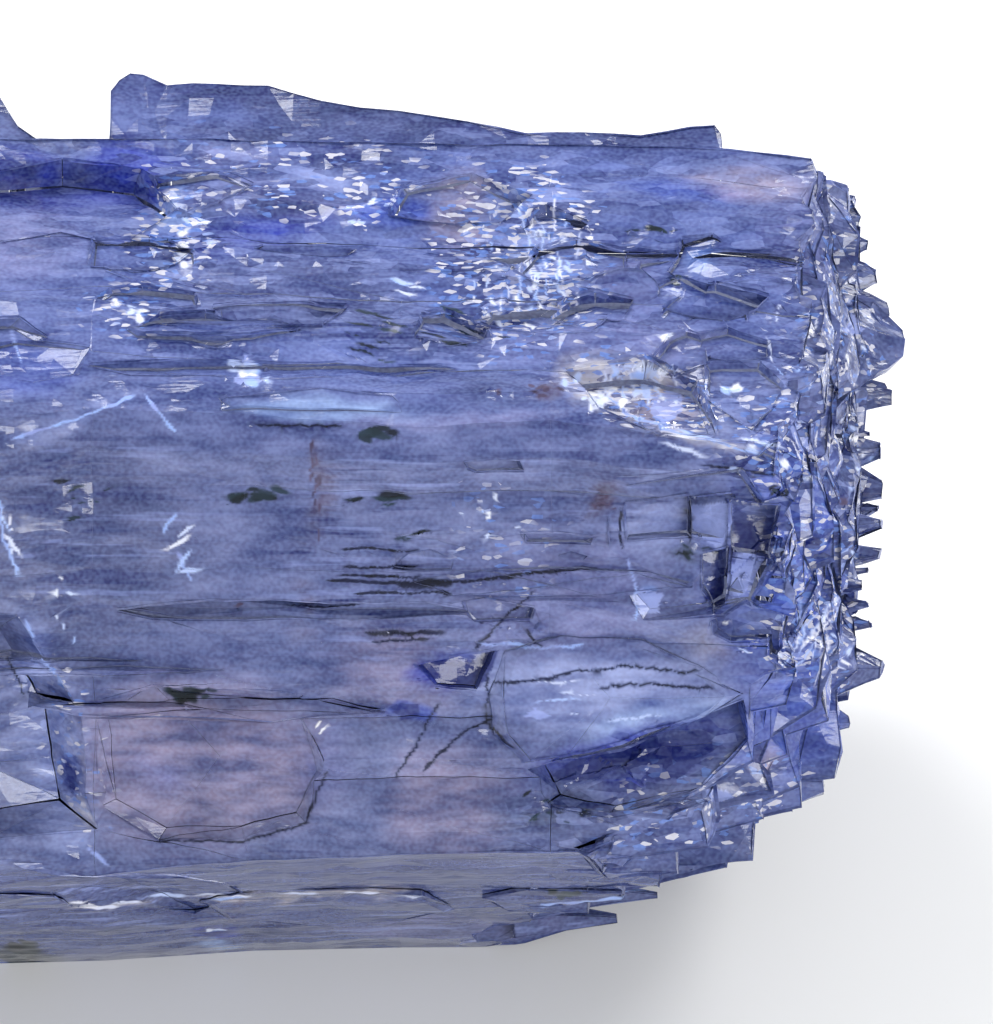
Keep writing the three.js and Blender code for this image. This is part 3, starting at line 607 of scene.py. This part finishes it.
def lay_marks(colours, clear, near_side, columns, rows, marks):
    """Lays the small marks on the near side, glints among them as painted highlights, and keeps how much of
    the pattern they hide.
    """
    order = near_side[np.argsort(columns[near_side])]
    sorted_columns = columns[order]
    for place, colour in marks:
        reach = max(place[2], place[3]) * (1 + MARK_SOFT)
        first, last = np.searchsorted(sorted_columns, (place[0] - reach, place[0] + reach))
        close = order[first:last]
        close = close[np.abs(rows[close] - place[1]) < reach]
        share = MARK_STRENGTH * ellipse(columns[close], rows[close], place, MARK_SOFT)
        blend_in(colours, close, colour, share)
        clear[close] = np.maximum(clear[close], share)


def fine_crystal():
    """The crystal with its fine relief, painted with its broad tints and its small marks, and with glints
    painted on as highlights.
    """
    marks = all_marks()
    mesh = bmesh.new()
    mesh.from_mesh(crystal_node.data)
    bmesh.ops.dissolve_limit(mesh, angle_limit=FLAT, verts=mesh.verts, edges=mesh.edges)
    bmesh.ops.triangulate(mesh, faces=mesh.faces[:])
    refine(mesh, longest_edges(marks))
    mesh.normal_update()
    points = np.array([vertex.co for vertex in mesh.verts])
    facing = np.array([vertex.normal.dot(TOWARDS) > FACING for vertex in mesh.verts])
    columns, rows, broad_columns, broad_rows = uneven_pixels(points)
    # sparkling says where the material paints its glints, which are painted highlights
    fractured, streaked, sparkling = [
        np.where(facing, strongest(broad_columns, broad_rows, places), elsewhere)
        for places, elsewhere in ((FRACTURED, 0.4), (STREAKED, 0.6), (SPARKLING, 0.05))
    ]
    fractured[points[:, 0] < LOW.x + ROOT_BREAK] = 1.0
    roughen(mesh, fractured)
    data = bpy.data.meshes.new("jeremejevite")
    mesh.to_mesh(data)
    mesh.free()

    colours = np.tile(np.array(linear(SLATE)), (len(points), 1))
    clear = np.zeros(len(points))
    near_side = np.flatnonzero(facing)
    lay_tints(colours, near_side, broad_columns, broad_rows)
    lay_facets(colours, clear, near_side, columns, rows)
    lay_marks(colours, clear, near_side, columns, rows, marks)
    paint(data, "tint", np.column_stack([colours, clear]))
    paint(data, "mood", np.column_stack([fractured, streaked, sparkling, facing]))
    return add_piece("jeremejevite", data)


def paint(data, name, colours):
    """Keeps a colour for each vertex of a mesh."""
    layer = data.color_attributes.new(name, "FLOAT_COLOR", "POINT")
    layer.data.foreach_set("color", colours.ravel())


def add_piece(name, data):
    piece = bpy.data.objects.new(name, data)
    bpy.context.scene.collection.objects.link(piece)
    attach(piece, "root")
    return piece


class Maker:
    """Adds nodes to a material with few words."""

    def __init__(self, name):
        self.material = bpy.data.materials.new(name)
        self.material.use_nodes = True
        self.nodes = self.material.node_tree.nodes
        self.links = self.material.node_tree.links
        self.shader = self.nodes["Principled BSDF"]
        self.output = self.nodes["Material Output"]

    def feed(self, socket, value):
        if isinstance(value, bpy.types.NodeSocket):
            self.links.new(value, socket)
        else:
            socket.default_value = value

    def add(self, kind, **inputs):
        """A node whose inputs are numbers or the outputs of other nodes, named with _ for spaces."""
        node = self.nodes.new("ShaderNode" + kind)
        for key, value in inputs.items():
            self.feed(node.inputs[key.replace("_", " ")], value)
        return node

    def set(self, **inputs):
        for key, value in inputs.items():
            self.feed(self.shader.inputs[key.replace("_", " ")], value)

    def attribute(self, name):
        node = self.add("Attribute")
        node.attribute_name = name
        return node

    def place(self, stretch):
        """Object coordinates in millimetres, times a stretch for each axis."""
        scale = tuple(part / MM for part in stretch)
        where = self.add("TexCoord").outputs["Object"]
        return self.add("Mapping", Vector=where, Scale=scale).outputs["Vector"]

    def noise(self, stretch, detail=2.0, roughness=0.55):
        texture = self.add("TexNoise", Vector=self.place(stretch), Scale=1.0, Detail=detail)
        texture.inputs["Roughness"].default_value = roughness
        return texture.outputs["Fac"]

    def cells(self, stretch):
        """Three random numbers for each of many angular cells."""
        texture = self.add("TexVoronoi", Vector=self.place(stretch), Scale=1.0)
        return self.add("SeparateColor", Color=texture.outputs["Color"]).outputs

    def bent_cells(self, stretch, stray=0.8):
        """The same, with cells whose sides are bent by noise."""
        place = self.place(stretch)
        bend = self.add("TexNoise", Vector=place, Scale=0.7, Detail=0.0).outputs["Color"]
        moved = self.nodes.new("ShaderNodeVectorMath")
        moved.operation = "MULTIPLY_ADD"
        for socket, value in zip(moved.inputs, (bend, (stray, stray, stray), place)):
            self.feed(socket, value)
        texture = self.add("TexVoronoi", Vector=moved.outputs[0], Scale=1.0)
        return self.add("SeparateColor", Color=texture.outputs["Color"]).outputs

    def ramp(self, value, low, high, start=0.0, finish=1.0):
        """Value carried from the range low to high onto the range start to finish, and held there."""
        inputs = {"From_Min": low, "From_Max": high, "To_Min": start, "To_Max": finish}
        return self.add("MapRange", Value=value, **inputs).outputs["Result"]

    def maths(self, operation, first, second):
        node = self.nodes.new("ShaderNodeMath")
        node.operation = operation
        self.feed(node.inputs[0], first)
        self.feed(node.inputs[1], second)
        return node.outputs[0]

    def times(self, first, second):
        return self.maths("MULTIPLY", first, second)

    def mix(self, share, first, second, blend="MIX"):
        node = self.nodes.new("ShaderNodeMix")
        node.data_type = "RGBA"
        node.blend_type = blend
        for socket, value in zip((node.inputs[0], node.inputs[6], node.inputs[7]), (share, first, second)):
            self.feed(socket, value)
        return node.outputs[2]

    def bump(self, height, distance):
        node = self.add("Bump", Height=height, Distance=distance, Strength=1.0)
        return node.outputs["Normal"]


def solid_colour(colour):
    return (*linear(colour), 1)


def crystal_material():
    """Cloudy violet-blue crystal: mottled, streaked with growth lines, full of small fractures, and with
    glints painted on as highlights.
    """
    make = Maker("jeremejevite")
    tint = make.attribute("tint")
    mood = make.add("SeparateColor", Color=make.attribute("mood").outputs["Color"])
    fractured, streaked, sparkling = mood.outputs

    mottle = make.ramp(make.noise((1.1, 3.4, 3.4), 2, 0.75), 0.32, 0.68)
    shade = make.mix(mottle, (0.36, 0.4, 0.56, 1), (1.72, 1.62, 1.34, 1))
    colour = make.mix(1.0, tint.outputs["Color"], shade, "MULTIPLY")

    # The pale cells stand partly for small fracture facets and partly for painted glints off them; the dark
    # cells are a deeper blue
    for cell, most in ((make.bent_cells((1.6, 6, 6)), 0.45), (make.cells((4, 12, 12)), 0.7)):
        pale = make.times(make.ramp(cell[0], 0.6, 1.0), make.ramp(fractured, 0.1, 1.0, 0.0, most))
        dark = make.times(make.ramp(cell[1], 0.55, 1.0), make.ramp(fractured, 0.1, 1.0, 0.0, 0.9))
        colour = make.mix(pale, colour, solid_colour(MIST))
        colour = make.mix(dark, colour, solid_colour(NAVY))

    lines = make.noise((0.45, 12, 12), 2, 0.5)
    dark_line = make.times(make.ramp(lines, 0.56, 0.68), make.ramp(streaked, 0.0, 1.0, 0.1, 0.95))
    pale_line = make.times(make.ramp(lines, 0.42, 0.3), make.ramp(streaked, 0.0, 1.0, 0.1, 0.6))
    colour = make.mix(dark_line, colour, solid_colour(NAVY))
    colour = make.mix(pale_line, colour, solid_colour(MIST))

    # Painted highlights: white glints and blue glints, thickest where sparkling is strong
    spark = make.cells((11, 26, 26))
    glint = make.ramp(make.maths("ADD", spark[0], make.times(sparkling, 0.24)), 1.0, 1.06)
    colour = make.mix(glint, colour, solid_colour(FROST))
    blue_glint = make.ramp(make.maths("ADD", spark[1], make.times(sparkling, 0.25)), 1.0, 1.06)
    colour = make.mix(make.times(blue_glint, 0.7), colour, solid_colour(AZURE))

    grain = make.ramp(make.noise((24, 28, 28), 0, 0.7), 0.28, 0.72)
    colour = make.mix(0.15, colour, make.mix(grain, solid_colour(NAVY), solid_colour(ICE)))
    colour = make.mix(tint.outputs["Alpha"], colour, tint.outputs["Color"])

    rough = make.ramp(mottle, 0.0, 1.0, 0.06, 0.22)
    through = make.ramp(tint.outputs["Alpha"], 0.0, 1.0, THROUGH, MARK_THROUGH)
    height = make.bump(lines, 0.008 * MM)
    absorb = make.add("VolumeAbsorption", Color=ABSORBED, Density=DENSITY)
    make.links.new(absorb.outputs["Volume"], make.output.inputs["Volume"])
    make.set(Base_Color=colour, Roughness=rough, Normal=height, Transmission_Weight=through)
    make.set(IOR=REFRACTION, Specular_IOR_Level=SPECULAR)
    return make.material


def floor():
    bpy.ops.mesh.primitive_plane_add(size=2.0, location=(0, 0, 0))
    plane = bpy.context.object
    plane.name = "floor"
    material = bpy.data.materials.new("floor")
    material.use_nodes = True
    shader = material.node_tree.nodes["Principled BSDF"]
    shader.inputs["Base Color"].default_value = (0.9, 0.9, 0.9, 1)
    shader.inputs["Roughness"].default_value = 0.7
    plane.data.materials.append(material)


def area_light(name, azimuth, elevation, distance, size, power):
    """A soft light that looks at the crystal from a bearing, where -90 is the camera's side."""
    a, e = math.radians(azimuth), math.radians(elevation)
    away = Vector((math.cos(e) * math.cos(a), math.cos(e) * math.sin(a), math.sin(e)))
    data = bpy.data.lights.new(name, "AREA")
    data.size = size
    data.energy = power
    light = bpy.data.objects.new(name, data)
    light.location = away * distance + Vector((0, 0, HIGH.z / 2))
    light.rotation_euler = away.to_track_quat("Z", "Y").to_euler()
    bpy.context.scene.collection.objects.link(light)


def lights():
    area_light("key", 130, 50, 0.2, 0.1, 0.32)
    area_light("fill", -50, 30, 0.25, 0.12, 0.36)
    area_light("back", 60, 25, 0.2, 0.08, 0.2)
    world = bpy.data.worlds.new("studio")
    bpy.context.scene.world = world
    world.use_nodes = True
    background = world.node_tree.nodes["Background"]
    background.inputs["Color"].default_value = (0.95, 0.97, 1.0, 1)
    background.inputs["Strength"].default_value = 0.62


def camera():
    """A long lens at the photo's height, framed on the photo's middle, with no shift."""
    data = bpy.data.cameras.new("camera")
    data.lens = LENS
    data.sensor_fit = "VERTICAL"
    data.sensor_height = SENSOR
    data.clip_start = 0.001
    distance = PHOTO_HEIGHT * PIXEL * LENS / SENSOR
    middle_depth = (LOW + HIGH).dot(TOWARDS) / 2
    view = bpy.data.objects.new("camera", data)
    view.location = photo_point(PHOTO_WIDTH / 2, PHOTO_HEIGHT / 2, middle_depth + distance)
    view.rotation_euler = TOWARDS.to_track_quat("Z", "Y").to_euler()
    bpy.context.scene.collection.objects.link(view)
    bpy.context.scene.camera = view


noise.seed_set(WOBBLE_SEED)
crystal = fine_crystal()
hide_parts("crystal")
crystal.data.materials.append(crystal_material())
floor()
lights()
camera()

scene = bpy.context.scene
scene.view_settings.view_transform = "Standard"
scene.cycles.use_denoising = True
scene.cycles.max_bounces = 3
scene.cycles.diffuse_bounces = 1

bpy.context.view_layer.update()
